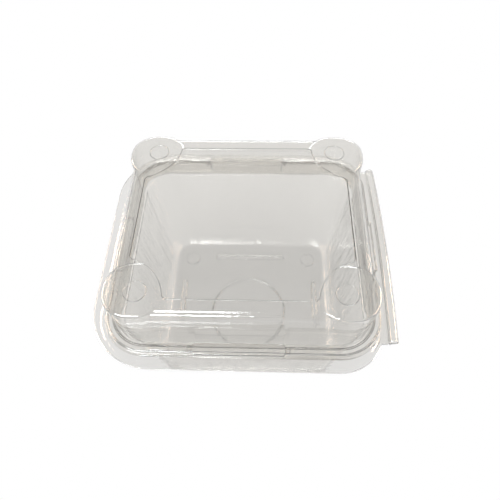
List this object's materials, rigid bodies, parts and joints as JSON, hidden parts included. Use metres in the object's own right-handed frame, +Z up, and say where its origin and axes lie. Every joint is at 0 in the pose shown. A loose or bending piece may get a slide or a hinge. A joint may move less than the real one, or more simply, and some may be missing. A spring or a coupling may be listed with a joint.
{
  "type": "plastic clamshell pack",
  "caption": "Clear formed-plastic food pack: a deep tub with a stepped flange and a high domed lid that folds over on a side bead and snaps round the tub's rim.",
  "frame": {"origin": "under the middle of the tub's floor, on the surface the pack stands on", "axes": "+Z up, +X towards the hinge bead, +Y along the hinge"},
  "size_m": [0.1768, 0.157, 0.1203],
  "materials": {
    "clear_sheet": "clear glossy formed sheet"
  },
  "bodies": {
    "tub": {"base_tub": "clear_sheet"},
    "lid": {"domed_lid": "clear_sheet"}
  },
  "joints": [
    {"name": "lid_hinge", "type": "hinge", "parent": "tub", "child": "lid", "pos_m": [0.08855, 0, 0.0873], "axis": [0, 1, 0], "range_deg": [0, 180]}
  ]
}
